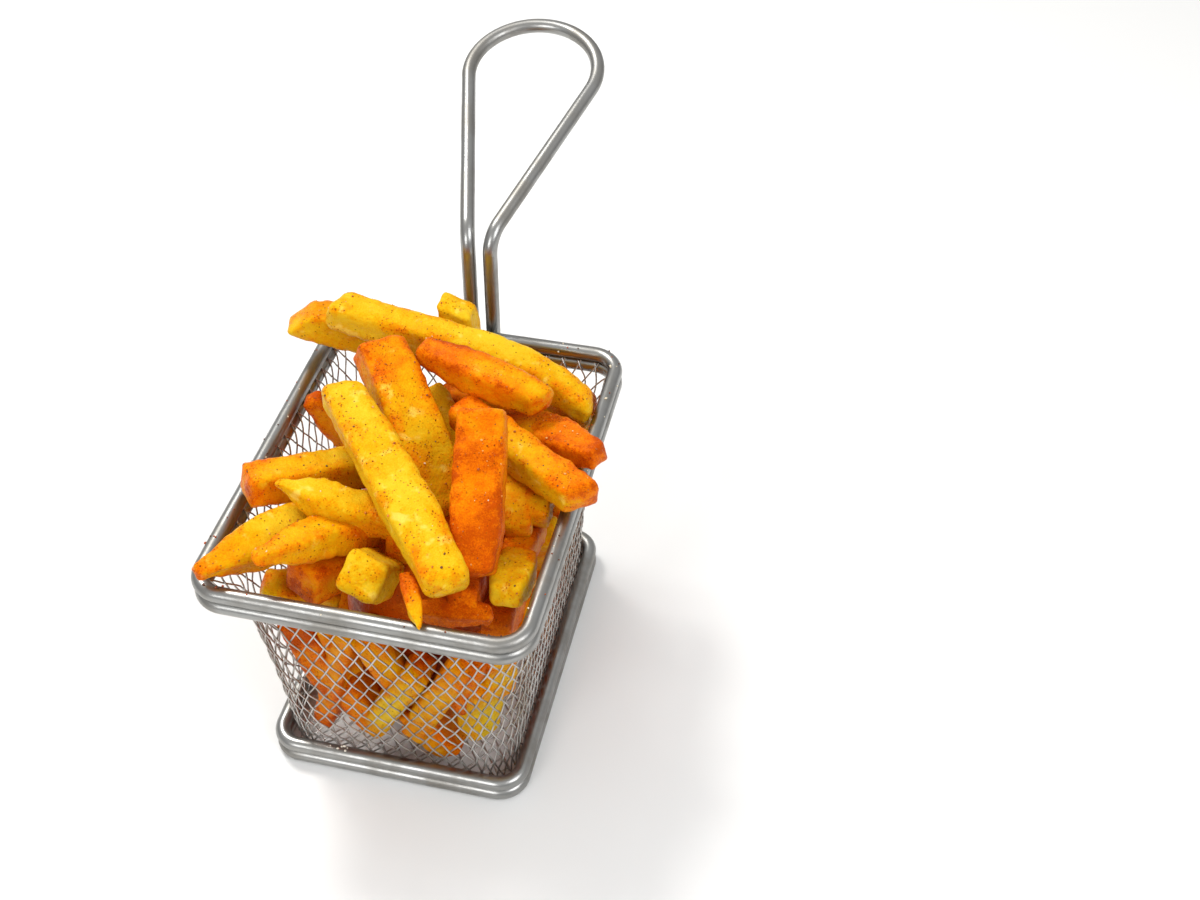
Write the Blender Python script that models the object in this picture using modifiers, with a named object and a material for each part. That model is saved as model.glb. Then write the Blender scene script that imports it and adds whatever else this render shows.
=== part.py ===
"""Portion of french fries in a small stainless serving basket.

Metres, +Z up. The basket stands on its base ring, with its long side along Y
and its handle at the back, +Y. The origin is on the floor, below the middle of
the whole part's box.
"""
import math

import bmesh
import bpy
from mathutils import Matrix, Vector

MM = 0.001

# Driving sizes of the basket
WIRE = 4.7 * MM              # frame wire, for rim, base and handle
RIM_WIDTH = 100 * MM         # outside, along X
RIM_DEPTH = 125 * MM         # outside, along Y
BASE_WIDTH = 84 * MM
BASE_DEPTH = 110 * MM
HEIGHT = 91 * MM             # floor to the top of the rim
RIM_CORNER = 8.5 * MM        # corner radius of the wire's centre line
BASE_CORNER = 7.2 * MM
GAP = 0.3 * MM               # between neighbouring pieces
CORNER_STEPS = 6             # facets in a rounded corner
COLLAR_SPREAD = 1.6          # outer size of the collar that clears the wall, against the wall

# A frame wire is a tube of twelve flats, turned so that one flat faces down
WIRE_BEVEL = 4               # the curve's bevel resolution that gives twelve flats
FLAT_TURN = math.pi / 12
FLAT_RADIUS = WIRE / 2 * math.cos(FLAT_TURN)
STACK = 2 * FLAT_RADIUS + GAP            # centre to centre of two stacked wires

RIM_UPPER_Z = HEIGHT - FLAT_RADIUS
RIM_LOWER_Z = RIM_UPPER_Z - STACK
BASE_LOWER_Z = FLAT_RADIUS
BASE_UPPER_Z = BASE_LOWER_Z + STACK

# Woven tub, gripped inside the rim and base wires
WEAVE = 1.2 * MM             # thickness of the woven sheet
TUB_INSET = WIRE + GAP       # from the outside of the wires to the tub
TUB_FLOOR_Z = 2.4 * MM
TUB_TOP_Z = RIM_UPPER_Z - 1 * MM
TUB_TAPER = 1.5 * MM         # the floor's edge lies this far inside the wall
CORNER_LOW = 10 * MM         # corner radius of the tub at the base,
CORNER_SLACK = 9 * MM        # how much rounder it grows up the wall,
CORNER_GRIP = 11 * MM        # and how much the rim pulls it in again
GRIP_FROM = 0.86             # share of the wall's height where that starts

# Handle: two legs up the back wall, then a teardrop loop that leans far back
LEG_HALF_GAP = 3.6 * MM      # from the centre line of a leg to the mid plane
LEG_FOOT_Z = 72 * MM
LEG_BEND_Z = 123.5 * MM
LEG_LEAN = math.radians(4.9)
LEG_WELD_Z = RIM_LOWER_Z     # here the leaning leg touches the rim
LEG_WELD_Y = RIM_DEPTH / 2 + WIRE / 2 + 2 * GAP
LOOP_RISE = math.radians(14.4)
LOOP_REACH = 72.6 * MM       # from the bend to the centre of the loop's arc
LOOP_RADIUS = 22 * MM
LOOP_STEPS = 9
BEND_RADIUS = 9 * MM

# Fries that show: two end points in mm from the middle of the basket's floor,
# then width and thickness in mm. The first end is the one in sight.
SHOWN_FRIES = (
    ((-39, 39, 112), (45, 31, 93), 12, 12),
    ((-52, 39, 105), (-9, 50, 92), 13, 12),
    ((-4, 51, 111), (-1, 50, 82), 11, 10),
    ((-6, 25, 112), (34, 17, 106), 11, 10),
    ((-19, 22, 114), (14, -17, 88), 17, 13),
    ((-24, 3, 112), (26, -52, 100), 15, 12),
    ((22, -4, 119), (30, -43, 95), 15, 11),
    ((9, 13, 101), (52, -12, 98), 12, 11),
    ((15, 24, 88), (54, 4, 100), 13, 11),
    ((-41, 17, 93), (-16, 21, 50), 9, 10),
    ((-44, -28, 98), (-4, 8, 84), 12, 12),
    ((-32, -30, 103), (2, -25, 90), 11, 10),
    ((-44, -60, 98), (-15, -12, 78), 14, 13),
    ((-28, -56, 104), (-6, -22, 82), 11, 10),
    ((-22, -46, 83), (-6, -14, 70), 15, 13),
    ((-2, -48, 92), (-4, -22, 66), 13, 13),
    ((20, -62, 94), (10, -45, 98), 5, 4),
    ((4, -32, 86), (2, -4, 72), 11, 11),
    ((14, -49, 84), (35, -47, 83), 9, 6),
    ((38, -42, 87), (37, -24, 82), 12, 11),
    ((35, -45, 76), (34, -26, 66), 11, 10),
    ((30, 2, 91), (34, -18, 86), 10, 10),
    ((38, 0, 90), (39, -13, 86), 9, 10),
    ((36, -25, 80), (35, -2, 76), 10, 10),
    ((46, 42, 86), (14, 40, 68), 11, 10),
    ((43, 36, 82), (10, 34, 84), 10, 10),
    ((-6, 23, 96), (11, 6, 86), 11, 11),
    ((-2, 26, 93), (30, 20, 92), 9, 9),
    ((-36, -44, 72), (-16, -37, 66), 11, 10),
    ((27, -47, 87), (22, -26, 74), 10, 9),
    ((-14, 35, 100), (8, 24, 66), 12, 12),
    ((0, -22, 104), (4, -14, 78), 10, 10),
    ((22, 20, 106), (14, 18, 78), 8, 8),
)

# Fries that lie against the weave, low in the basket, given in the same way
WALL_FRIES = (
    ((-27, -47, 68), (-18, -43, 27), 11, 10),
    ((-8, -48, 66), (-25, -44, 12), 9, 8),
    ((-17, -46, 68), (-14, -43, 40), 9, 9),
    ((-5, -46, 66), (4, -42, 30), 12, 10),
    ((-16, -42, 36), (-7, -42, 12), 12, 10),
    ((12, -48, 53), (-9, -44, 13), 12, 9),
    ((26, -48, 62), (5, -44, 15), 12, 9),
    ((4, -42, 26), (17, -42, 7), 12, 10),
    ((30, -46, 64), (21, -43, 34), 11, 9),
    ((29, -45, 50), (25, -42, 20), 12, 10),
    ((34, -42, 68), (31, -39, 38), 11, 10),
    ((37, -30, 66), (30, -4, 22), 10, 11),
    ((38, 0, 68), (29, 22, 24), 10, 11),
    ((37, 30, 62), (28, 8, 20), 10, 11),
    ((22, 46, 64), (8, 38, 18), 11, 10),
    ((-6, 46, 62), (-18, 38, 22), 10, 10),
    ((-33, 40, 50), (-26, 16, 20), 10, 10),
    ((-37, 4, 62), (-27, -20, 22), 10, 11),
    ((-36, -15, 60), (-28, 6, 20), 10, 10),
)
FRY_ROUNDING = 1.6 * MM
FRY_TAPER = 0.86             # size of the end in sight against the other end

# Packed middle of the heap, as level ovals: height, centre x, centre y, half width
# and half depth, all in mm
CORE_OVALS = (
    (4.2, 1, -1, 20, 34),
    (22, 2, -1, 27, 41),
    (50, 3, -1, 32, 45),
    (72, 5, -3, 32, 43),
    (86, 6, -8, 26, 32),
    (98, 8, -14, 12, 16),
)
CORE_SIDES = 24


def clear_scene():
    for obj in list(bpy.data.objects):
        bpy.data.objects.remove(obj, do_unlink=True)


def make_collection(name):
    collection = bpy.data.collections.new(name)
    bpy.context.scene.collection.children.link(collection)
    return collection


def make_material(name, color, roughness, metallic):
    material = bpy.data.materials.new(name)
    material.use_nodes = True
    shader = material.node_tree.nodes["Principled BSDF"]
    shader.inputs["Base Color"].default_value = (*color, 1.0)
    shader.inputs["Roughness"].default_value = roughness
    shader.inputs["Metallic"].default_value = metallic
    return material


def steel(name):
    return make_material(name, (0.62, 0.61, 0.59), 0.3, 1.0)


def add_part(name, data, parts, material):
    part = bpy.data.objects.new(name, data)
    parts.objects.link(part)
    part.data.materials.append(material)
    return part


def mesh_from(bm, name):
    """Turn a bmesh into mesh data with its faces pointing out."""
    bmesh.ops.recalc_face_normals(bm, faces=bm.faces)
    mesh = bpy.data.meshes.new(name)
    bm.to_mesh(mesh)
    bm.free()
    return mesh


def rounded_rectangle(width, depth, radius, steps=CORNER_STEPS):
    """Points of a rounded rectangle, anticlockwise from its right side."""
    points = []
    for quarter, (side_x, side_y) in enumerate(((1, 1), (-1, 1), (-1, -1), (1, -1))):
        center_x = side_x * (width / 2 - radius)
        center_y = side_y * (depth / 2 - radius)
        for step in range(steps + 1):
            angle = math.pi / 2 * (quarter + step / steps)
            points.append(Vector((center_x + radius * math.cos(angle),
                                  center_y + radius * math.sin(angle), 0)))
    return points


def wire_curve(name, points, closed):
    """A frame wire along the points."""
    curve = bpy.data.curves.new(name, "CURVE")
    curve.dimensions = "3D"
    curve.bevel_depth = WIRE / 2
    curve.bevel_resolution = WIRE_BEVEL
    spline = curve.splines.new("POLY")
    spline.points.add(len(points) - 1)
    for spline_point, point in zip(spline.points, points):
        spline_point.co = (*point, 1)
    if closed:
        spline.use_cyclic_u = True
        curve.twist_mode = "Z_UP"
        for spline_point in spline.points:
            spline_point.tilt = FLAT_TURN
    else:
        curve.use_fill_caps = True
    return curve


def make_ring(name, width, depth, corner, height, parts):
    """One closed wire of the frame; width and depth are its outside sizes."""
    outline = rounded_rectangle(width - WIRE, depth - WIRE, corner)
    ring = add_part(name, wire_curve(name, outline, True), parts, steel(name))
    ring.location.z = height
    return ring


def rounded_bend(before, corner, after):
    """Points of the arc that rounds a corner of the handle."""
    into = (before - corner).normalized()
    out = (after - corner).normalized()
    half_angle = into.angle(out) / 2
    middle = corner + (into + out).normalized() * (BEND_RADIUS / math.sin(half_angle))
    start = corner + into * (BEND_RADIUS / math.tan(half_angle)) - middle
    turn = math.pi - 2 * half_angle
    axis = out.cross(into)
    steps = 6
    return [middle + Matrix.Rotation(turn * step / steps, 3, axis) @ start
            for step in range(steps + 1)]


def handle_points():
    """The handle's centre line, from its left foot round the loop to its right foot."""
    lean = math.tan(LEG_LEAN)
    foot = Vector((LEG_HALF_GAP, LEG_WELD_Y + (LEG_FOOT_Z - LEG_WELD_Z) * lean, LEG_FOOT_Z))
    bend = Vector((LEG_HALF_GAP, LEG_WELD_Y + (LEG_BEND_Z - LEG_WELD_Z) * lean, LEG_BEND_Z))
    sideways = Vector((1, 0, 0))
    backward = Vector((0, math.cos(LOOP_RISE), math.sin(LOOP_RISE)))
    center = bend - sideways * LEG_HALF_GAP + backward * LOOP_REACH

    # The straight side meets the arc at a tangent
    center_distance = math.hypot(LOOP_REACH, LEG_HALF_GAP)
    first_angle = math.atan2(LEG_HALF_GAP, LOOP_REACH) - math.asin(LOOP_RADIUS / center_distance)
    arc = []
    for step in range(LOOP_STEPS + 1):
        angle = first_angle + (math.pi / 2 - first_angle) * step / LOOP_STEPS
        arc.append(center + LOOP_RADIUS * (sideways * math.cos(angle) + backward * math.sin(angle)))
    right = [foot] + rounded_bend(foot, bend, arc[0]) + arc
    left = [Vector((-point.x, point.y, point.z)) for point in right[:-1]]
    return left + right[::-1]


def make_handle(parts):
    return add_part("handle", wire_curve("handle", handle_points(), False), parts, steel("handle"))


def tub_outline(height, inset):
    """Outline of the tub at a height, drawn in by an inset."""
    share = (height - BASE_UPPER_Z) / (RIM_LOWER_Z - BASE_UPPER_Z)
    share = min(max(share, 0), 1)
    width = BASE_WIDTH + (RIM_WIDTH - BASE_WIDTH) * share - 2 * (TUB_INSET + inset)
    depth = BASE_DEPTH + (RIM_DEPTH - BASE_DEPTH) * share - 2 * (TUB_INSET + inset)
    slack = math.sin(math.pi / 2 * min(share / GRIP_FROM, 1))
    grip = max(share - GRIP_FROM, 0) / (1 - GRIP_FROM)
    radius = CORNER_LOW + CORNER_SLACK * slack - CORNER_GRIP * grip - inset
    return [point + Vector((0, 0, height)) for point in rounded_rectangle(width, depth, radius)]


def tub_sections(lowest, highest, inset):
    """The tub's outlines between two heights, lowest first."""
    between = [height * MM for height in (20, 35, 50, 65, 75)]
    heights = [lowest, BASE_UPPER_Z] + between + [RIM_LOWER_Z, highest]
    return [tub_outline(height, inset) for height in heights]


def loft(bm, sections):
    """Join outlines of equal length by quads, and return them as rings of vertices."""
    rings = [[bm.verts.new(point) for point in section] for section in sections]
    for lower, upper in zip(rings, rings[1:]):
        for index, vertex in enumerate(lower):
            after = (index + 1) % len(lower)
            bm.faces.new((vertex, lower[after], upper[after], upper[index]))
    return rings


def make_tub(parts):
    """Open tub of woven wire, as a sheet with its floor."""
    bm = bmesh.new()
    floor = list(tub_outline(TUB_FLOOR_Z, TUB_TAPER))
    rings = loft(bm, [floor] + tub_sections(BASE_LOWER_Z + WIRE / 2, TUB_TOP_Z, 0))
    bm.faces.new(rings[0][::-1])
    tub = add_part("woven_tub", mesh_from(bm, "woven_tub"), parts, steel("woven_tub"))
    solidify = tub.modifiers.new("Sheet", "SOLIDIFY")
    solidify.thickness = WEAVE
    solidify.offset = -1
    return tub


def fry_matrix(start, end):
    """Place of a fry: its local Z points to the end in sight, its local X is level."""
    along = (start - end).normalized()
    across = Vector((0, 0, 1)).cross(along).normalized()
    turn = Matrix((across, along.cross(across), along)).transposed()
    return Matrix.Translation((start + end) / 2) @ turn.to_4x4()


def make_fry(name, start, end, width, thickness, guides):
    """A bar of square section with soft edges, a little slimmer at the end in sight."""
    bm = bmesh.new()
    bmesh.ops.create_cube(bm, size=1)
    bmesh.ops.scale(bm, vec=(width, thickness, (start - end).length), verts=bm.verts)
    tip = [vertex for vertex in bm.verts if vertex.co.z > 0]
    bmesh.ops.scale(bm, vec=(FRY_TAPER, FRY_TAPER, 1), verts=tip)
    bmesh.ops.bevel(bm, geom=bm.edges, offset=FRY_ROUNDING, segments=1, affect="EDGES")
    fry = bpy.data.objects.new(name, mesh_from(bm, name))
    fry.matrix_world = fry_matrix(start, end)
    guides.objects.link(fry)
    return fry


def make_core():
    """The packed middle of the heap."""
    bm = bmesh.new()
    sections = []
    for height, center_x, center_y, half_width, half_depth in CORE_OVALS:
        oval = []
        for side in range(CORE_SIDES):
            angle = 2 * math.pi * side / CORE_SIDES
            oval.append(Vector((center_x + half_width * math.cos(angle),
                                center_y + half_depth * math.sin(angle), height)) * MM)
        sections.append(oval)
    rings = loft(bm, sections)
    bm.faces.new(rings[0][::-1])
    bm.faces.new(rings[-1])
    return mesh_from(bm, "fries_heap")


def make_basket_clearance(guides):
    """A collar that fills the space of wall and rim, for keeping the heap clear of them."""
    bm = bmesh.new()
    above_rim = HEIGHT + GAP
    inner = tub_sections(-WIRE, above_rim, WEAVE + GAP)
    outer = [[Vector((point.x * COLLAR_SPREAD, point.y * COLLAR_SPREAD, point.z)) for point in section]
             for section in (inner[-1], inner[0])]
    inner[0] = [Vector((point.x, point.y, -WIRE)) for point in inner[0]]
    loft(bm, inner + outer + [inner[0]])
    bmesh.ops.remove_doubles(bm, verts=bm.verts, dist=0.001 * MM)
    collar = bpy.data.objects.new("basket_clearance", mesh_from(bm, "basket_clearance"))
    guides.objects.link(collar)
    return collar


def combine(target, operand, operation):
    modifier = target.modifiers.new(operand.name, "BOOLEAN")
    modifier.operation = operation
    modifier.operand_type = "COLLECTION" if operation == "UNION" else "OBJECT"
    if operation == "UNION":
        modifier.collection = operand
    else:
        modifier.object = operand


def make_heap(parts, fries, guides):
    """The heap as one solid: packed middle and fries together, clear of the basket."""
    crust = make_material("fries_heap", (0.83, 0.55, 0.16), 0.5, 0.0)
    heap = add_part("fries_heap", make_core(), parts, crust)
    for number, (start, end, width, thickness) in enumerate(SHOWN_FRIES + WALL_FRIES):
        make_fry(f"fry_{number:02}", Vector(start) * MM, Vector(end) * MM,
                 width * MM, thickness * MM, fries)
    combine(heap, fries, "UNION")
    combine(heap, make_basket_clearance(guides), "DIFFERENCE")
    return heap


def center_on_floor(parts, guides, fries):
    """Hang everything on one empty that puts the origin below the middle of the parts' box."""
    graph = bpy.context.evaluated_depsgraph_get()
    points = []
    for part in parts.objects:
        evaluated = part.evaluated_get(graph)
        mesh = evaluated.to_mesh()
        points += [evaluated.matrix_world @ vertex.co for vertex in mesh.vertices]
        evaluated.to_mesh_clear()
    middle = [(min(point[axis] for point in points) + max(point[axis] for point in points)) / 2
              for axis in (0, 1)]
    base = bpy.data.objects.new("floor_center", None)
    base.location = (-middle[0], -middle[1], 0)
    bpy.context.scene.collection.objects.link(base)
    for obj in list(parts.objects) + list(guides.objects) + list(fries.objects):
        obj.parent = base


def main():
    clear_scene()
    parts = make_collection("fries_in_basket")
    guides = make_collection("guides")
    fries = make_collection("fries")
    make_ring("rim_wire_upper", RIM_WIDTH, RIM_DEPTH, RIM_CORNER, RIM_UPPER_Z, parts)
    make_ring("rim_wire_lower", RIM_WIDTH, RIM_DEPTH, RIM_CORNER, RIM_LOWER_Z, parts)
    make_ring("base_wire_upper", BASE_WIDTH, BASE_DEPTH, BASE_CORNER, BASE_UPPER_Z, parts)
    make_ring("base_wire_lower", BASE_WIDTH, BASE_DEPTH, BASE_CORNER, BASE_LOWER_Z, parts)
    make_tub(parts)
    make_handle(parts)
    make_heap(parts, fries, guides)
    for guide in list(guides.objects) + list(fries.objects):
        guide.hide_render = True
        guide.display_type = "WIRE"
    center_on_floor(parts, guides, fries)


main()
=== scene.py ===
import math
import random

import bpy
import numpy as np
from mathutils import Matrix, Vector, noise
from mathutils.bvhtree import BVHTree


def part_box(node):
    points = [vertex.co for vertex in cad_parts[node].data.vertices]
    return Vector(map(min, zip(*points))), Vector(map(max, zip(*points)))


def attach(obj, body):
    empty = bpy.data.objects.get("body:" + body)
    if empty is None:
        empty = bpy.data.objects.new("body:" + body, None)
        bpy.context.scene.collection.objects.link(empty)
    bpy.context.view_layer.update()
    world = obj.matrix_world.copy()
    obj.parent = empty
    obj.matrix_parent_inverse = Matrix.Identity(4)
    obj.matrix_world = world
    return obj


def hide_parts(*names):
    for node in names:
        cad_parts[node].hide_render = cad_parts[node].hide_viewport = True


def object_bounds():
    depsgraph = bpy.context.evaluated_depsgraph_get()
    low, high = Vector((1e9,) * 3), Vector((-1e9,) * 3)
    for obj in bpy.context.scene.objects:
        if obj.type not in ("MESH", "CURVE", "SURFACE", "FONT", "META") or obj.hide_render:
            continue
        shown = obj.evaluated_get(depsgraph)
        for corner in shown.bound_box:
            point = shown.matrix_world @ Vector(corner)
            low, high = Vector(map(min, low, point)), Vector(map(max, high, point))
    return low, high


# vector noise takes its start from the clock unless it is given one
noise.seed_set(5)
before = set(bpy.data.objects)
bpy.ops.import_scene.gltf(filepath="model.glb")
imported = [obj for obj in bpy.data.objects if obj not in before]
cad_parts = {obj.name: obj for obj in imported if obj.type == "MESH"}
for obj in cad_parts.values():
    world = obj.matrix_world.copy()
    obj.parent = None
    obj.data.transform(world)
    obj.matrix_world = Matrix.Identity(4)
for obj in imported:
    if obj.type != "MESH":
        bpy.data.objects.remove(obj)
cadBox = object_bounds()
mm = 0.001

# the middle of the basket's foot, from which every piece is placed
rimLow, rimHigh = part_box("rim_wire_upper")
basketMid = Vector(((rimLow.x + rimHigh.x) / 2, (rimLow.y + rimHigh.y) / 2, 0))


# ---- small helpers ----

def deselectAll():
    bpy.ops.object.select_all(action="DESELECT")


def makeActive(obj):
    deselectAll()
    obj.select_set(True)
    bpy.context.view_layer.objects.active = obj


def placeInMesh(obj):
    makeActive(obj)
    bpy.ops.object.transform_apply(location=True, rotation=True, scale=True)


def finishPiece(obj, material, standsFor=()):
    placeInMesh(obj)
    obj.data.materials.clear()
    obj.data.materials.append(material)
    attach(obj, "root")
    if standsFor:
        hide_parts(*standsFor)
    return obj


def joinPieces(pieces, name):
    deselectAll()
    for piece in pieces:
        piece.select_set(True)
    bpy.context.view_layer.objects.active = pieces[0]
    bpy.ops.object.join()
    joined = bpy.context.view_layer.objects.active
    joined.name = name
    return joined


def smoothStep(value, low, high):
    share = min(max((value - low) / (high - low), 0), 1)
    return share * share * (3 - 2 * share)


# ---- camera, floor and light ----

cameraSetup = {
    "place": Vector((0.12262, -0.28263, 0.39640)),
    "turn": (0.78705, 0.00841, 0.22640),
    "lens": 43.28,
}


def addCamera(setup):
    data = bpy.data.cameras.new("mainCamera")
    data.sensor_width = 36
    data.lens = setup["lens"]
    data.clip_start = 0.01
    camera = bpy.data.objects.new("mainCamera", data)
    camera.location = setup["place"] + basketMid
    camera.rotation_euler = setup["turn"]
    bpy.context.scene.collection.objects.link(camera)
    bpy.context.scene.camera = camera


studio = {
    "floorSize": 8,
    "floorColor": (0.80, 0.80, 0.79, 1),
    "skyTop": (1.0, 1.0, 1.0, 1),
    "skySide": (0.58, 0.58, 0.59, 1),
    "skyStrength": 0.76,
    # name: place, size, power, colour
    "lamps": {
        "keyLamp": ((-0.45, 0.35, 0.95), 0.3, 7.2, (1.0, 0.98, 0.95)),
        "fillLamp": ((0.75, -0.35, 0.75), 0.6, 4.5, (0.97, 0.98, 1.0)),
        "frontLamp": ((-0.25, -0.9, 0.6), 0.5, 3.4, (1.0, 1.0, 1.0)),
    },
}


def addStudio(setup):
    deselectAll()
    bpy.ops.mesh.primitive_plane_add(size=setup["floorSize"])
    floor = bpy.context.object
    floor.name = "studioFloor"
    paint = bpy.data.materials.new("paleFloor")
    paint.use_nodes = True
    shader = paint.node_tree.nodes["Principled BSDF"]
    shader.inputs["Base Color"].default_value = setup["floorColor"]
    shader.inputs["Roughness"].default_value = 0.6
    floor.data.materials.append(paint)

    world = bpy.data.worlds.new("studioSky")
    world.use_nodes = True
    nodes, links = world.node_tree.nodes, world.node_tree.links
    coords = nodes.new("ShaderNodeTexCoord")
    axes = nodes.new("ShaderNodeSeparateXYZ")
    ramp = nodes.new("ShaderNodeValToRGB")
    ramp.color_ramp.elements[0].position = 0.1
    ramp.color_ramp.elements[0].color = setup["skySide"]
    ramp.color_ramp.elements[1].position = 0.75
    ramp.color_ramp.elements[1].color = setup["skyTop"]
    links.new(coords.outputs["Generated"], axes.inputs[0])
    links.new(axes.outputs["Z"], ramp.inputs["Fac"])
    links.new(ramp.outputs["Color"], nodes["Background"].inputs["Color"])
    nodes["Background"].inputs["Strength"].default_value = setup["skyStrength"]
    bpy.context.scene.world = world

    aim = Vector((0, 0, 0.06)) + basketMid
    for name, (place, size, power, color) in setup["lamps"].items():
        data = bpy.data.lights.new(name, "AREA")
        data.shape = "DISK"
        data.size = size
        data.energy = power
        data.color = color
        lamp = bpy.data.objects.new(name, data)
        lamp.location = Vector(place) + basketMid
        lamp.rotation_euler = (aim - lamp.location).to_track_quat("-Z", "Y").to_euler()
        bpy.context.scene.collection.objects.link(lamp)


bpy.context.scene.view_settings.view_transform = "Standard"
addCamera(cameraSetup)
addStudio(studio)
print("camera and studio ready")


# ---- shared shader groups ----

def newGroup(name, inputs, outputs):
    group = bpy.data.node_groups.new(name, "ShaderNodeTree")
    for label, kind, value in inputs:
        socket = group.interface.new_socket(label, in_out="INPUT", socket_type=kind)
        if value is not None:
            socket.default_value = value
    for label, kind in outputs:
        group.interface.new_socket(label, in_out="OUTPUT", socket_type=kind)
    start = group.nodes.new("NodeGroupInput")
    end = group.nodes.new("NodeGroupOutput")
    return group, start, end


def addNoise(tree, vector, scale, detail, rough=0.5):
    texture = tree.nodes.new("ShaderNodeTexNoise")
    texture.inputs["Detail"].default_value = detail
    texture.inputs["Roughness"].default_value = rough
    tree.links.new(vector, texture.inputs["Vector"])
    if isinstance(scale, (int, float)):
        texture.inputs["Scale"].default_value = scale
    else:
        tree.links.new(scale, texture.inputs["Scale"])
    return texture.outputs["Fac"]


def addMath(tree, operation, first, second, clamp=False):
    node = tree.nodes.new("ShaderNodeMath")
    node.operation = operation
    node.use_clamp = clamp
    for slot, value in enumerate((first, second)):
        if isinstance(value, (int, float)):
            node.inputs[slot].default_value = value
        else:
            tree.links.new(value, node.inputs[slot])
    return node.outputs[0]


def addRange(tree, value, low, high, newLow=0.0, newHigh=1.0):
    node = tree.nodes.new("ShaderNodeMapRange")
    node.interpolation_type = "SMOOTHSTEP"
    tree.links.new(value, node.inputs["Value"])
    for label, amount in (("From Min", low), ("From Max", high), ("To Min", newLow), ("To Max", newHigh)):
        if isinstance(amount, (int, float)):
            node.inputs[label].default_value = amount
        else:
            tree.links.new(amount, node.inputs[label])
    return node.outputs["Result"]


def addMix(tree, factor, first, second, blend="MIX"):
    node = tree.nodes.new("ShaderNodeMix")
    node.data_type = "RGBA"
    node.blend_type = blend
    for socket, value in ((node.inputs["Factor"], factor), (node.inputs["A"], first), (node.inputs["B"], second)):
        if isinstance(value, (int, float, tuple)):
            socket.default_value = value
        else:
            tree.links.new(value, socket)
    return node.outputs["Result"]


def makeSpeckGroup():
    # scattered specks of uneven size: a mask that is 1 on a speck
    group, start, end = newGroup(
        "scatteredSpecks",
        [("Vector", "NodeSocketVector", None), ("Scale", "NodeSocketFloat", 400),
         ("Size", "NodeSocketFloat", 0.25), ("Share", "NodeSocketFloat", 0.3)],
        [("Mask", "NodeSocketFloat")])
    cells = group.nodes.new("ShaderNodeTexVoronoi")
    group.links.new(start.outputs["Vector"], cells.inputs["Vector"])
    group.links.new(start.outputs["Scale"], cells.inputs["Scale"])
    shape = addRange(group, cells.outputs["Distance"], start.outputs["Size"], 0.0)
    chance = group.nodes.new("ShaderNodeSeparateColor")
    group.links.new(cells.outputs["Color"], chance.inputs[0])
    chosen = addMath(group, "LESS_THAN", chance.outputs[0], start.outputs["Share"])
    group.links.new(addMath(group, "MULTIPLY", shape, chosen, True), end.inputs["Mask"])
    return group


def makeSmudgeGroup():
    # soft smudges and fine drawn lines of handled steel
    group, start, end = newGroup(
        "handledSteel",
        [("Vector", "NodeSocketVector", None), ("Smudge Scale", "NodeSocketFloat", 60),
         ("Grain Scale", "NodeSocketFloat", 900)],
        [("Smudge", "NodeSocketFloat"), ("Grain", "NodeSocketFloat")])
    smudge = addNoise(group, start.outputs["Vector"], start.outputs["Smudge Scale"], 4, 0.6)
    grain = addNoise(group, start.outputs["Vector"], start.outputs["Grain Scale"], 3, 0.6)
    group.links.new(addRange(group, smudge, 0.35, 0.7), end.inputs["Smudge"])
    group.links.new(grain, end.inputs["Grain"])
    return group


speckGroup = makeSpeckGroup()
smudgeGroup = makeSmudgeGroup()


def useGroup(tree, group, vector, values):
    node = tree.nodes.new("ShaderNodeGroup")
    node.node_tree = group
    tree.links.new(vector, node.inputs["Vector"])
    for label, value in values.items():
        node.inputs[label].default_value = value
    return node


def newMaterial(name):
    material = bpy.data.materials.new(name)
    material.use_nodes = True
    tree = material.node_tree
    coords = tree.nodes.new("ShaderNodeTexCoord")
    return material, tree, tree.nodes["Principled BSDF"], coords.outputs["Object"]


def addBump(tree, shader, height, strength, distance):
    bump = tree.nodes.new("ShaderNodeBump")
    bump.inputs["Strength"].default_value = strength
    bump.inputs["Distance"].default_value = distance
    tree.links.new(height, bump.inputs["Height"])
    tree.links.new(bump.outputs["Normal"], shader.inputs["Normal"])


# ---- frame wires ----

frameSteel = {
    "clean": (0.34, 0.34, 0.33, 1),
    "smudged": (0.25, 0.24, 0.22, 1),
    "roughLow": 0.30,
    "roughHigh": 0.46,
}


def makeFrameSteel(look):
    material, tree, shader, coords = newMaterial("satinFrameSteel")
    marks = useGroup(tree, smudgeGroup, coords, {"Smudge Scale": 70, "Grain Scale": 1500})
    tree.links.new(addMix(tree, marks.outputs["Smudge"], look["clean"], look["smudged"]),
                   shader.inputs["Base Color"])
    rough = addRange(tree, marks.outputs["Smudge"], 0, 1, look["roughLow"], look["roughHigh"])
    tree.links.new(rough, shader.inputs["Roughness"])
    shader.inputs["Metallic"].default_value = 1
    addBump(tree, shader, marks.outputs["Grain"], 0.12, 0.0002)
    return material


satinSteel = makeFrameSteel(frameSteel)


def wireFrom(name, paths, radius, sides, closed):
    # one curve with a spline for each path, made a mesh
    curve = bpy.data.curves.new(name, "CURVE")
    curve.dimensions = "3D"
    curve.bevel_depth = radius
    curve.bevel_resolution = max(max(sides // 2 - 2, 0), 0)
    curve.use_fill_caps = not closed
    for path in paths:
        spline = curve.splines.new("POLY")
        spline.points.add(len(path) - 1)
        flat = [value for point in path for value in (*point, 1)]
        spline.points.foreach_set("co", flat)
        spline.use_cyclic_u = closed
        spline.use_smooth = True
    obj = bpy.data.objects.new(name, curve)
    bpy.context.scene.collection.objects.link(obj)
    makeActive(obj)
    bpy.ops.object.convert(target="MESH")
    return bpy.context.object


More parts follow.
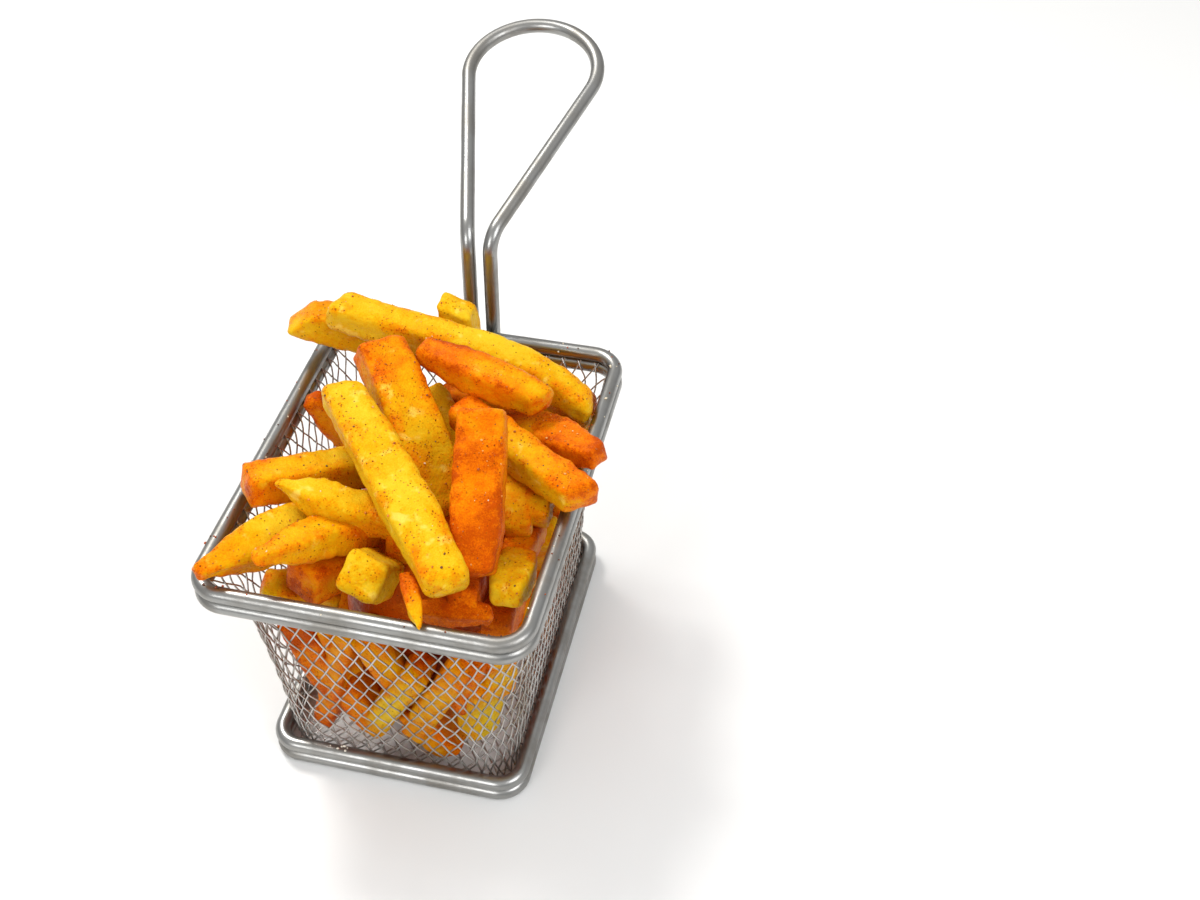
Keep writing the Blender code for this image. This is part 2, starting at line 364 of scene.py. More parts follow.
def roundedPath(halfWidth, halfDepth, radius, height, steps):
    path = []
    for quarter, (sideX, sideY) in enumerate(((1, 1), (-1, 1), (-1, -1), (1, -1))):
        for step in range(steps + 1):
            angle = math.pi / 2 * (quarter + step / steps)
            path.append(basketMid + Vector((sideX * (halfWidth - radius) + radius * math.cos(angle),
                                            sideY * (halfDepth - radius) + radius * math.sin(angle),
                                            height)))
    return path


frameWire = {
    "sides": 28,
    "rimCorner": 8.5 * mm,
    "baseCorner": 7.2 * mm,
    "cornerSteps": 12,
    "flats": 12,      # flats round a wire of the frame's own plain model
}


def measureRing(node):
    low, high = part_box(node)
    flat = (high.z - low.z) / 2
    return {"halfWidth": (high.x - low.x) / 2 - flat, "halfDepth": (high.y - low.y) / 2 - flat,
            "height": (high.z + low.z) / 2, "radius": flat / math.cos(math.pi / frameWire["flats"])}


rings = {node: measureRing(node) for node in
         ("rim_wire_upper", "rim_wire_lower", "base_wire_upper", "base_wire_lower")}
wireRadius = rings["rim_wire_upper"]["radius"]


def makeRings():
    for node, ring in rings.items():
        corner = frameWire["rimCorner"] if node.startswith("rim") else frameWire["baseCorner"]
        path = roundedPath(ring["halfWidth"], ring["halfDepth"], corner, ring["height"],
                           frameWire["cornerSteps"])
        piece = wireFrom(node + "_steel", [path], ring["radius"], frameWire["sides"], True)
        finishPiece(piece, satinSteel, (node,))


makeRings()
print("rim and foot wires ready")


# ---- handle ----

handleShape = {
    "legGap": 3.6 * mm,       # a leg's centre line from the mid plane
    "footHeight": 72 * mm,
    "bendHeight": 123.5 * mm,
    "lean": math.radians(4.9),
    "rise": math.radians(14.4),
    "reach": 72.6 * mm,
    "loopRadius": 22 * mm,
    "bendRadius": 9 * mm,
    "bendSteps": 10,
    "loopSteps": 22,
    "standOff": 0.25 * mm,    # from the rim wires
}


def handlePath(shape):
    rim = rings["rim_wire_lower"]
    weldY = rim["halfDepth"] + 2 * wireRadius + shape["standOff"]
    lean = math.tan(shape["lean"])

    def onLeg(height):
        return Vector((shape["legGap"], weldY + (height - rim["height"]) * lean, height))

    foot, bend = onLeg(shape["footHeight"]), onLeg(shape["bendHeight"])
    back = Vector((0, math.cos(shape["rise"]), math.sin(shape["rise"])))
    side = Vector((1, 0, 0))
    middle = bend - side * shape["legGap"] + back * shape["reach"]
    first = (math.atan2(shape["legGap"], shape["reach"])
             - math.asin(shape["loopRadius"] / math.hypot(shape["reach"], shape["legGap"])))
    loop = []
    for step in range(shape["loopSteps"] + 1):
        angle = first + (math.pi / 2 - first) * step / shape["loopSteps"]
        loop.append(middle + shape["loopRadius"] * (side * math.cos(angle) + back * math.sin(angle)))
    into, out = (foot - bend).normalized(), (loop[0] - bend).normalized()
    half = into.angle(out) / 2
    pivot = bend + (into + out).normalized() * (shape["bendRadius"] / math.sin(half))
    start = bend + into * (shape["bendRadius"] / math.tan(half)) - pivot
    turn = [pivot + Matrix.Rotation((math.pi - 2 * half) * step / shape["bendSteps"], 3,
                                    out.cross(into)) @ start
            for step in range(shape["bendSteps"] + 1)]
    right = [foot] + turn + loop
    left = [Vector((-point.x, point.y, point.z)) for point in right[:-1]]
    return [point + basketMid for point in left + right[::-1]]


def makeHandle(shape):
    piece = wireFrom("handle_steel", [handlePath(shape)], wireRadius, frameWire["sides"], False)
    finishPiece(piece, satinSteel, ("handle",))


makeHandle(handleShape)
print("handle ready")


# ---- woven tub ----

weave = {
    "columns": 74,            # diamonds round the tub
    "pitch": 5.3 * mm,        # width of a diamond on the flat walls
    "diamondLow": 7.6 * mm,   # height of a diamond at the foot
    "diamondHigh": 9.9 * mm,  # and at the rim
    "wire": 0.28 * mm,        # radius of a woven wire
    "swing": 0.27 * mm,       # how far it swings out and in at the crossings
    "stepsPerCrossing": 3,
    "bottom": 3.0 * mm,
    "top": 86.4 * mm,
    "gap": 0.3 * mm,
    "tilt": 4.0 * mm,         # how far the rows wander up and down near the foot
    "cornerLow": 10 * mm,
    "cornerSlack": 9 * mm,
    "cornerGrip": 11 * mm,
    "gripFrom": 0.86,
    "tuck": 1.5 * mm,         # the top edge is drawn out between the two rim wires
}


def tubSection(height):
    low, high = rings["base_wire_upper"], rings["rim_wire_lower"]
    share = min(max((height - low["height"]) / (high["height"] - low["height"]), 0), 1)
    inset = wireRadius + weave["gap"] + weave["wire"]
    halfWidth = low["halfWidth"] + (high["halfWidth"] - low["halfWidth"]) * share - inset
    halfDepth = low["halfDepth"] + (high["halfDepth"] - low["halfDepth"]) * share - inset
    slack = math.sin(math.pi / 2 * min(share / weave["gripFrom"], 1))
    grip = max(share - weave["gripFrom"], 0) / (1 - weave["gripFrom"])
    radius = weave["cornerLow"] + weave["cornerSlack"] * slack - weave["cornerGrip"] * grip
    tuck = weave["tuck"] * smoothStep(height, high["height"], weave["top"])
    return halfWidth + tuck, halfDepth + tuck, radius


def wallPoint(column, height, lift):
    # a point on the tub's wall, and how far out of it; column 0 is the middle of the front
    columns = weave["columns"]
    quarter = columns / 4
    column = column % columns
    flipY = quarter < column <= 3 * quarter
    flipX = column > 2 * quarter
    if flipX:
        column = columns - column
    if flipY:
        column = 2 * quarter - column
    halfWidth, halfDepth, radius = tubSection(height)
    frontColumns = (halfWidth - radius) / weave["pitch"]
    sideColumns = (halfDepth - radius) / weave["pitch"]
    cornerColumns = quarter - frontColumns - sideColumns
    if column <= frontColumns:
        x, y, normal = column * weave["pitch"], -halfDepth, (0, -1)
    elif column >= frontColumns + cornerColumns:
        x, y, normal = halfWidth, -(quarter - column) * weave["pitch"], (1, 0)
    else:
        angle = (column - frontColumns) / cornerColumns * math.pi / 2
        normal = (math.sin(angle), -math.cos(angle))
        x = halfWidth - radius + radius * normal[0]
        y = -(halfDepth - radius) + radius * normal[1]
    x, y = x + normal[0] * lift, y + normal[1] * lift
    return basketMid + Vector((-x if flipX else x, -y if flipY else y, height))


def weavePaths(direction):
    # each wire climbs one diamond for each column that it moves round the tub
    growth = (weave["diamondHigh"] - weave["diamondLow"]) / (weave["top"] - weave["bottom"])
    rows = math.log(weave["diamondHigh"] / weave["diamondLow"]) / growth
    steps = round(rows * 2 * weave["stepsPerCrossing"])
    paths = []
    for wire in range(weave["columns"]):
        path = []
        for step in range(steps + 1):
            row = rows * step / steps
            column = wire + direction * row
            height = weave["bottom"] + weave["diamondLow"] * (math.exp(growth * row) - 1) / growth
            calm = smoothStep(height, 3 * mm, 18 * mm) * (1 - smoothStep(height, 36 * mm, 76 * mm))
            around = 2 * math.pi * column / weave["columns"]
            height += weave["tilt"] * calm * math.sin(2 * around)
            lift = direction * weave["swing"] * math.cos(2 * math.pi * row)
            path.append(wallPoint(column, height, lift))
        paths.append(path)
    return paths


def floorPaths(direction):
    # straight wires across the floor, clipped to its outline
    halfWidth, halfDepth, radius = tubSection(weave["bottom"])
    halfWidth, halfDepth = halfWidth - 0.8 * mm, halfDepth - 0.8 * mm
    slope = Vector((0.62, 0.785 * direction, 0))
    across = Vector((slope.y, -slope.x, 0))
    pitch = 4.15 * mm
    reach = halfWidth + halfDepth
    paths = []
    for line in range(-40, 41):
        inside = []
        steps = 150
        for step in range(steps + 1):
            along = reach * (2 * step / steps - 1)
            point = across * (line * pitch) + slope * along
            cornerX = max(abs(point.x) - halfWidth + radius, 0)
            cornerY = max(abs(point.y) - halfDepth + radius, 0)
            if math.hypot(cornerX, cornerY) <= radius:
                swing = direction * weave["swing"] * math.cos(math.pi * along / pitch)
                inside.append(basketMid + Vector((point.x, point.y, weave["bottom"] + swing)))
        if len(inside) > 3:
            paths.append(inside)
    return paths


wovenSteel = {
    "bright": (0.55, 0.54, 0.52, 1),
    "stained": (0.24, 0.20, 0.16, 1),
    "roughness": 0.34,
}


def makeWovenSteel(look):
    material, tree, shader, coords = newMaterial("wovenSteelWire")
    marks = useGroup(tree, smudgeGroup, coords, {"Smudge Scale": 45, "Grain Scale": 1200})
    tree.links.new(addMix(tree, addMath(tree, "MULTIPLY", marks.outputs["Smudge"], 0.7),
                          look["bright"], look["stained"]), shader.inputs["Base Color"])
    shader.inputs["Metallic"].default_value = 1
    shader.inputs["Roughness"].default_value = look["roughness"]
    return material


def makeTub():
    wire = makeWovenSteel(wovenSteel)
    leaning = {"weave_left": -1, "weave_right": 1}
    for name, direction in leaning.items():
        piece = wireFrom(name, weavePaths(direction), weave["wire"], 8, False)
        finishPiece(piece, wire, ("woven_tub",))
    floor = wireFrom("weave_floor", floorPaths(-1) + floorPaths(1), weave["wire"], 4, False)
    finishPiece(floor, wire, ("woven_tub",))


makeTub()
print("woven tub ready")


# ---- fries ----

fryShape = {
    "sides": 40,
    "rings": 66,
    "square": 5.0,            # higher is squarer in section
    "endRound": 1.8 * mm,     # a fry may have its own, in mm
    "sag": 0.045,             # how far the faces sink between the edges
    "lumpSize": 9 * mm,
    "lumpDepth": 0.55 * mm,
    "wrinkleSize": 2.6 * mm,
    "wrinkleDepth": 0.19 * mm,
    "faceTone": 0.30,         # how unevenly the four faces are browned
    "crooked": 1.1 * mm,      # how far a fry wanders off its line
}


def makeRod(name, sides, rings):
    # a round bar one unit long and one in radius, drawn out ring by ring, with rings on its ends
    deselectAll()
    bpy.ops.mesh.primitive_circle_add(vertices=sides, radius=1, fill_type="NGON")
    bpy.ops.object.mode_set(mode="EDIT")
    bpy.ops.mesh.select_all(action="SELECT")
    for ring in range(rings):
        bpy.ops.mesh.extrude_region_move(TRANSFORM_OT_translate={"value": (0, 0, 1 / rings)})
    for ring in range(3):
        bpy.ops.mesh.inset(thickness=0.25)
    bpy.ops.object.mode_set(mode="OBJECT")
    rod = bpy.context.object
    rod.name = name
    for part in (rod.data.vertices, rod.data.edges, rod.data.polygons):
        part.foreach_set("select", [False] * len(part))
    for face in rod.data.polygons:
        face.select = len(face.vertices) == sides and face.center.z < 0.5
    bpy.ops.object.mode_set(mode="EDIT")
    bpy.ops.mesh.select_mode(type="FACE")
    for ring in range(3):
        bpy.ops.mesh.inset(thickness=0.25)
    bpy.ops.mesh.select_all(action="SELECT")
    bpy.ops.mesh.normals_make_consistent(inside=False)
    bpy.ops.object.mode_set(mode="OBJECT")
    return rod


def between(three, share):
    # a value that runs from the first through the middle one to the last
    low, middle, high = three
    if share < 0.5:
        return low + (middle - low) * smoothStep(share, 0, 0.5)
    return middle + (high - middle) * smoothStep(share, 0.5, 1)


def shapeFry(blank, name, fry, seed):
    # a copy of the blank, drawn out, squared, tapered, bent and roughened, in its place
    start, end = Vector(fry["from"]) * mm, Vector(fry["to"]) * mm
    length = (end - start).length
    along = (end - start).normalized()
    sideways = Vector((0, 0, 1)).cross(along).normalized()
    upwards = along.cross(sideways)
    turn = Matrix.Rotation(math.radians(fry.get("roll", 0)), 3, along)
    halfWidth, halfThick = (value * mm / 2 for value in fry["size"])
    bowSide, bowUp = (value * mm for value in fry.get("bow", (0, 0)))
    tipStart, tipEnd = fry.get("tips", (0.9, 0.9))
    cutStart, cutEnd = fry.get("cuts", (0, 0))
    slopeStart, slopeEnd = fry.get("slopes", (0, 0))
    peak = math.log(0.5) / math.log(fry.get("peak", 0.5))
    twist = math.radians(fry.get("twist", 0))
    square = fry.get("square", fryShape["square"])
    tones = fry.get("tones", (0.4, 0.3, 0.4))
    shift = Vector((seed * 7.31, seed * 3.17, seed * 5.93))
    endRound = min(fry.get("endRound", fryShape["endRound"] / mm) * mm, 0.8 * min(halfWidth, halfThick))

    obj = blank.copy()
    obj.data = blank.data.copy()
    obj.name = name
    bpy.context.scene.collection.objects.link(obj)
    toneValues, edgeValues, alongValues = [], [], []
    for vertex in obj.data.vertices:
        x, y, share = vertex.co
        ring = min(math.hypot(x, y), 1)
        angle = math.atan2(y, x)
        share = 0.6 * share + 0.4 * (0.5 - 0.5 * math.cos(math.pi * share))
        fromEnd = min(share, 1 - share) * length
        taper = 1 - (1 - tipStart) * (1 - smoothStep(share, 0, 0.45)) ** 1.5
        taper *= 1 - (1 - tipEnd) * smoothStep(share, 0.55, 1) ** 1.5
        cos, sin = math.cos(angle), math.sin(angle)
        reach = (abs(cos) ** square + abs(sin) ** square) ** (-1 / square)
        corner = (reach - 1) / (2 ** (0.5 - 1 / square) * 1 - 1 + 1e-6)
        reach *= 1 - fryShape["sag"] * math.cos(2 * angle) ** 2
        rounding = 1
        if fromEnd < endRound:
            rounding = 1 - (1 - math.sqrt(1 - (1 - fromEnd / endRound) ** 2)) * endRound / min(halfWidth, halfThick)
        swell = 1 + 0.10 * noise.noise(Vector((share * length / (22 * mm), 0, 0)) + shift)
        u = ring * reach * cos * halfWidth * taper * rounding * swell
        v = ring * reach * sin * halfThick * taper * rounding * swell
        spin = twist * (share - 0.5)
        u, v = u * math.cos(spin) - v * math.sin(spin), u * math.sin(spin) + v * math.cos(spin)
        near = (1 - min(share * length / (14 * mm), 1)) ** 2
        far = (1 - min((1 - share) * length / (14 * mm), 1)) ** 2
        slide = share * length + near * (cutStart * u + slopeStart * v) + far * (cutEnd * u + slopeEnd * v)
        slide += (1 - ring * ring) * 0.5 * mm * (-1 if share < 0.5 else 1)
        arch = 4 * share ** peak * (1 - share ** peak)
        crooked = fryShape["crooked"] * arch ** 0.5
        wander = noise.noise_vector(Vector((share * length / (30 * mm), 9, 0)) + shift) * crooked
        point = start + along * slide + turn @ (sideways * u + upwards * v)
        point += sideways * (bowSide * arch + wander.x) + upwards * (bowUp * arch + wander.y)
        out = turn @ (sideways * (cos * ring) + upwards * (sin * ring))
        if ring < 0.99 or fromEnd < endRound / 2:
            out = (out + along * (-1 if share < 0.5 else 1)).normalized()
        lump = noise.noise(point / fryShape["lumpSize"] + shift) * fryShape["lumpDepth"]
        rough = fryShape["wrinkleDepth"] * (1 + 1.6 * max(corner * ring, 0))
        lump += noise.noise(point / fryShape["wrinkleSize"] + shift) * rough
        vertex.co = basketMid + point + out * lump
        faces = ((cos, 0.3), (-cos, 1.7), (sin, 2.9), (-sin, 4.3))
        uneven = sum(max(side, 0) ** 3 * noise.noise(Vector((seed * 1.37, key, 0))) for side, key in faces)
        toneValues.append(between(tones, share) + fryShape["faceTone"] * uneven)
        ends = 1 - min(fromEnd / (5 * mm), 1)
        edgeValues.append(min(max(corner * ring, ends), 1))
        alongValues.append(share)
    for label, values in (("fryTone", toneValues), ("fryEdge", edgeValues), ("fryAlong", alongValues)):
        attribute = obj.data.attributes.new(label, "FLOAT", "POINT")
        attribute.data.foreach_set("value", values)
    obj.data.polygons.foreach_set("use_smooth", [True] * len(obj.data.polygons))
    return obj


# place of each end in mm from the middle of the foot, width and thickness in mm; tones run
# from 0, pale, to 1, deep orange
shownFries = {
    "longBack": {"from": (-39, 39, 111), "to": (45, 31, 91.5), "size": (12, 11.5), "bow": (3, 3), "peak": 0.6,
                 "tips": (0.95, 0.82), "cuts": (0.3, -0.2), "square": 3.6, "endRound": 3.4,
                 "tones": (0.22, 0.12, 0.3)},
    "behindLong": {"from": (-52, 39, 105), "to": (-9, 50, 92), "size": (12.5, 12), "tips": (0.8, 0.9),
                   "slopes": (0.75, 0), "tones": (0.32, 0.25, 0.4)},
    "uprightStub": {"from": (-3.5, 51, 109.6), "to": (-1, 50, 82), "size": (11, 10), "roll": 68, "tips": (1, 1),
                    "cuts": (0.5, 0), "square": 5, "tones": (0.05, 0.2, 0.4)},
    "darkTop": {"from": (-6, 25, 112), "to": (34, 17, 105), "size": (11, 10), "bow": (0, 1),
                "tips": (0.7, 0.85), "cuts": (0, 0.45), "tones": (0.85, 0.68, 0.5)},
    "leanTop": {"from": (-19, 22.5, 113.5), "to": (13.5, -17, 88), "size": (17, 13), "roll": -12,
                "tips": (0.97, 0.72), "tones": (0.65, 0.25, 0.3)},
    "crossTop": {"from": (-24, 3, 112), "to": (26, -52.5, 99.5), "size": (14.5, 12), "bow": (1.5, 0),
                 "tips": (0.9, 0.95), "cuts": (0.25, 0.2), "square": 3.8, "endRound": 3.4,
                 "tones": (0.08, 0.06, 0.15)},
    "redUpright": {"from": (22, -4, 119), "to": (30, -43, 95), "size": (15, 11), "tips": (0.95, 0.72),
                   "tones": (0.62, 0.70, 0.84)},
    "overRight": {"from": (9, 13, 101), "to": (52.5, -12, 98), "size": (11.5, 11), "cuts": (0, 0.5),
                  "square": 5, "tones": (0.68, 0.32, 0.52)},
    "overRightBack": {"from": (15, 24, 88), "to": (54, 4, 100), "size": (12.5, 11), "tips": (0.9, 0.62),
                      "square": 5, "tones": (0.8, 0.45, 0.75)},
    "brownLeft": {"from": (-41, 17, 93), "to": (-16, 21, 50), "size": (8.5, 10), "tips": (0.7, 0.9),
                  "tones": (0.75, 0.65, 0.8)},
    "leftUpper": {"from": (-43.5, -27.5, 97.5), "to": (-4, 8, 84), "size": (11.5, 11.5), "tips": (0.95, 0.85),
                  "tones": (0.46, 0.17, 0.4)},
    "paleCurl": {"from": (-31.5, -30, 104), "to": (2, -25, 91), "size": (10.5, 10), "bow": (0, -1.5),
                 "tips": (0.22, 0.9), "tones": (0.0, 0.05, 0.3)},
    "leftCorner": {"from": (-44, -60, 97), "to": (-15, -12, 77), "size": (14, 12.5), "roll": 25,
                   "bow": (0, 3), "tips": (0.35, 0.9), "tones": (0.48, 0.06, 0.2)},
    "leftCrescent": {"from": (-28, -56, 102), "to": (-6, -22, 81), "size": (11, 9.5), "bow": (0, 3),
                     "tips": (0.4, 0.9), "tones": (0.46, 0.36, 0.66)},
    "redBlock": {"from": (-21.5, -46.5, 83), "to": (-6, -14, 70), "size": (15, 13), "square": 5,
                 "tones": (0.70, 0.66, 0.82)},
    "endBlock": {"from": (-1.8, -48, 91.5), "to": (-4, -22, 66), "size": (13.2, 12.8), "roll": 22,
                 "tips": (0.97, 0.95), "square": 5, "tones": (0.0, 0.2, 0.4)},
    "sliver": {"from": (20, -62.5, 93.5), "to": (10.5, -46, 94), "size": (4.4, 4), "tips": (0.35, 0.8),
               "tones": (0.3, 0.55, 0.7)},
    "smallMiddle": {"from": (4, -32, 86.5), "to": (2, -4, 72), "size": (11, 11), "tones": (0.55, 0.6, 0.7)},
    "brokenFront": {"from": (14, -49, 83.5), "to": (35, -47, 83), "size": (8.5, 6), "tips": (0.6, 0.7),
                    "tones": (0.9, 1.0, 0.75)},
    "paleChunk": {"from": (38, -42.5, 87), "to": (37, -24, 82), "size": (12, 10.5), "tips": (0.75, 0.9),
                  "tones": (0.12, 0.3, 0.5)},
    "rightFront": {"from": (35, -45, 76), "to": (34, -26, 66), "size": (10.5, 10), "tones": (0.6, 0.7, 0.8)},
    "rightInner": {"from": (29.5, 2, 91), "to": (34.5, -18, 86), "size": (9.5, 9.5), "tones": (0.3, 0.35, 0.4)},
    "rightWall": {"from": (38, 0, 90), "to": (39, -13, 86), "size": (9, 10), "tones": (0.3, 0.4, 0.4)},
    "rightSide": {"from": (35.5, -25, 80), "to": (35, -2, 76), "size": (10, 10), "tones": (0.7, 0.8, 0.6)},
    "backRight": {"from": (42.3, 42, 86), "to": (14, 40, 68), "size": (10.5, 10), "tones": (0.5, 0.5, 0.6)},
    "underLong": {"from": (43, 36, 82), "to": (10, 34, 84), "size": (10, 10), "tones": (0.4, 0.4, 0.4)},
    "middleBack": {"from": (-5.5, 23, 96), "to": (11, 6, 86), "size": (11, 11), "tones": (0.15, 0.2, 0.4)},
    "darkUnder": {"from": (-2, 26, 93), "to": (30, 20, 92), "size": (9, 9), "tones": (0.95, 0.75, 0.8)},
    "leftLow": {"from": (-36, -44, 72.5), "to": (-16, -37, 66), "size": (11, 10), "tones": (0.3, 0.35, 0.4)},
    "underRed": {"from": (27, -47, 87), "to": (22, -26, 74), "size": (10, 9), "tones": (0.75, 0.8, 0.9)},
}

wallFries = {
    "frontRed": {"from": (-27, -47, 68), "to": (-18, -43, 27), "size": (11, 10), "tones": (0.8, 0.5, 0.55)},
    "frontOrange": {"from": (-8.5, -48, 66), "to": (-25, -44.5, 12.5), "size": (8.5, 8),
                    "tones": (0.5, 0.55, 0.7)},
    "frontTop": {"from": (-17, -46, 68), "to": (-14, -43, 40), "size": (9, 9), "tones": (0.35, 0.35, 0.5)},
    "frontSlantLeft": {"from": (-5, -46, 66), "to": (4, -42, 30), "size": (12, 10), "tones": (0.5, 0.42, 0.5)},
    "frontLow": {"from": (-16, -42, 36), "to": (-7, -42, 12), "size": (12, 10), "tones": (0.5, 0.5, 0.6)},
    "frontSlantMiddle": {"from": (11.5, -46.5, 53), "to": (-9, -43, 13), "size": (12, 9),
                         "tones": (0.5, 0.15, 0.45)},
    "frontSlantRight": {"from": (26, -47.2, 62), "to": (5, -43.1, 15), "size": (12, 9), "tones": (0.5, 0.38, 0.5)},
    "frontBottom": {"from": (4, -42, 26), "to": (17, -42, 7), "size": (12, 10), "tones": (0.65, 0.6, 0.55)},
    "frontBehind": {"from": (30, -46, 64), "to": (21, -43, 34), "size": (11, 9), "tones": (0.55, 0.5, 0.6)},
    "frontYellow": {"from": (29, -45, 50), "to": (25, -42, 20), "size": (12, 10), "tones": (0.4, 0.05, 0.1)},
    "frontRight": {"from": (34, -42, 68), "to": (31, -39, 38), "size": (11, 10), "tones": (0.4, 0.2, 0.35)},
    "rightOne": {"from": (37, -30, 66), "to": (30, -4, 22), "size": (10, 11), "tones": (0.5, 0.5, 0.5)},
    "rightTwo": {"from": (37.5, 0, 68), "to": (28.6, 22, 24), "size": (10, 11), "tones": (0.3, 0.4, 0.5)},
    "rightThree": {"from": (36.7, 30, 62), "to": (28, 8, 20), "size": (10, 11), "tones": (0.7, 0.6, 0.5)},
    "backOne": {"from": (22, 46, 64), "to": (8, 38, 18), "size": (11, 10), "tones": (0.4, 0.5, 0.4)},
    "backTwo": {"from": (-6, 46, 62), "to": (-18, 38, 22), "size": (10, 10), "tones": (0.6, 0.5, 0.5)},
    "backThree": {"from": (-33, 40, 50), "to": (-26, 16, 20), "size": (10, 10), "tones": (0.3, 0.4, 0.5)},
    "leftOne": {"from": (-36.5, 4, 62), "to": (-27, -20, 22), "size": (10, 11), "tones": (0.4, 0.5, 0.5)},
    "leftTwo": {"from": (-36, -15, 60), "to": (-28, 6, 20), "size": (10, 10), "tones": (0.6, 0.4, 0.5)},
}

fryPaint = {
    # tone: colour
    "ramp": {0.0: (0.74, 0.47, 0.015, 1), 0.25: (0.72, 0.365, 0.003, 1), 0.5: (0.72, 0.245, 0.002, 1),
             0.75: (0.70, 0.140, 0.001, 1), 1.0: (0.46, 0.058, 0.001, 1)},
    "speck": (0.16, 0.030, 0.003, 1),
    "dust": (0.46, 0.062, 0.001, 1),
    # pale spots on the paler fries: partly real blisters, partly painted highlight
    "blisterAndHighlight": (0.90, 0.66, 0.12, 1),
    "shine": (1.0, 0.66, 0.05, 1),
    "roughLow": 0.30,
    "roughHigh": 0.62,
    "glow": 0.05,             # light that soaks into the potato
}


def makeFryMaterial(look):
    material, tree, shader, coords = newMaterial("friedPotato")

    def readAttribute(label):
        node = tree.nodes.new("ShaderNodeAttribute")
        node.attribute_name = label
        return node.outputs["Fac"]

    tone, edge = readAttribute("fryTone"), readAttribute("fryEdge")
    broad = addNoise(tree, coords, 85, 3, 0.55)
    patchy = addNoise(tree, coords, 300, 4, 0.6)
    patchyColor = patchy.node.outputs["Color"]
    streaky = addNoise(tree, coords, 160, 5, 0.75)
    fine = addNoise(tree, coords, 1100, 3, 0.6)
    grain = addNoise(tree, coords, 2400, 2, 0.6)
    value = addMath(tree, "ADD", tone, addRange(tree, broad, 0.3, 0.7, -0.16, 0.14))
    value = addMath(tree, "ADD", value, addRange(tree, grain, 0.3, 0.7, -0.07, 0.09))
    value = addMath(tree, "ADD", value, addRange(tree, patchy, 0.35, 0.7, -0.05, 0.09))
    browned = addMath(tree, "MULTIPLY", edge, addRange(tree, streaky, 0.40, 0.62))
    value = addMath(tree, "ADD", value, addMath(tree, "MULTIPLY", browned, 0.34), True)
    ramp = tree.nodes.new("ShaderNodeValToRGB")
    stops = ramp.color_ramp.elements
    for position, color in look["ramp"].items():
        stop = stops[0] if position == 0 else stops[-1] if position == 1 else stops.new(position)
        stop.color = color
    tree.links.new(value, ramp.inputs["Fac"])

    # pale spots on the paler fries, partly real blisters and partly painted highlight
    pale = addMath(tree, "MULTIPLY", addRange(tree, addNoise(tree, coords, 210, 2, 0.5), 0.60, 0.72, 0, 0.55),
                   addRange(tree, value, 0.15, 0.6, 1, 0))
    color = addMix(tree, pale, ramp.outputs["Color"], look["blisterAndHighlight"])
    dust = useGroup(tree, speckGroup, coords, {"Scale": 1300, "Size": 0.5, "Share": 0.5})
    dusted = addMath(tree, "MULTIPLY", addRange(tree, streaky, 0.42, 0.60, 0.15, 1.2),
                     addRange(tree, value, 0.1, 0.6, 0.2, 1.0))
    dusted = addMath(tree, "ADD", dusted, addMath(tree, "MULTIPLY", browned, 0.6), True)
    dustMask = addMath(tree, "MULTIPLY", dust.outputs["Mask"], dusted)
    color = addMix(tree, dustMask, color, look["dust"])
    bent = tree.nodes.new("ShaderNodeVectorMath")
    bent.operation = "MULTIPLY_ADD"
    bent.inputs[1].default_value = (0.0012, 0.0012, 0.0012)
    tree.links.new(patchyColor, bent.inputs[0])
    tree.links.new(coords, bent.inputs[2])
    small = useGroup(tree, speckGroup, bent.outputs[0], {"Scale": 1050, "Size": 0.36, "Share": 0.24})
    large = useGroup(tree, speckGroup, bent.outputs[0], {"Scale": 520, "Size": 0.17, "Share": 0.07})
    crowd = addRange(tree, streaky, 0.44, 0.58, 0.0, 1.5)
    thin = addRange(tree, broad, 0.40, 0.60, 0.25, 1.0)
    specks = addMath(tree, "MAXIMUM", addMath(tree, "MULTIPLY", small.outputs["Mask"], crowd),
                     addMath(tree, "MULTIPLY", large.outputs["Mask"], thin))
    color = addMix(tree, addMath(tree, "MULTIPLY", specks, 1.3, True), color, look["speck"])
    tree.links.new(color, shader.inputs["Base Color"])
    tree.links.new(addRange(tree, fine, 0.3, 0.7, look["roughLow"], look["roughHigh"]), shader.inputs["Roughness"])
    shader.inputs["Subsurface Weight"].default_value = look["glow"]
    shader.inputs["Subsurface Radius"].default_value = (1.0, 0.4, 0.05)
    shader.inputs["Subsurface Scale"].default_value = 0.002
    shader.inputs["Specular IOR Level"].default_value = 0.18
    shader.inputs["Specular Tint"].default_value = look["shine"]
    height = addMath(tree, "ADD", patchy, addMath(tree, "MULTIPLY", fine, 0.35))
    height = addMath(tree, "ADD", height, addMath(tree, "MULTIPLY", dustMask, 0.4))
    addBump(tree, shader, height, 0.6, 0.0009)
    return material


friedPotato = makeFryMaterial(fryPaint)


def makeFries():
    blank = makeRod("fryBlank", fryShape["sides"], fryShape["rings"])
    seed = 0
    for group, fries in (("fries_top", shownFries), ("fries_low", wallFries)):
        made = []
        for name, fry in fries.items():
            seed += 1
            made.append(shapeFry(blank, name, fry, seed))
        joined = joinPieces(made, group)
        finishPiece(joined, friedPotato, ("fries_heap",))
    bpy.data.objects.remove(blank, do_unlink=True)


makeFries()
print("fries ready")


# ---- packed middle of the heap ----

coreShape = {
    # height: middle x, middle y, half width, half depth, in mm
    "ovals": {6: (1, -1, 18, 30), 22: (2, -1, 24, 36), 50: (3, -1, 28, 40), 68: (5, -3, 29, 38),
              80: (6, -8, 22, 28), 88: (8, -12, 12, 16)},
    "sides": 40,
    "rings": 24,
    "lump": 3.0 * mm,
}


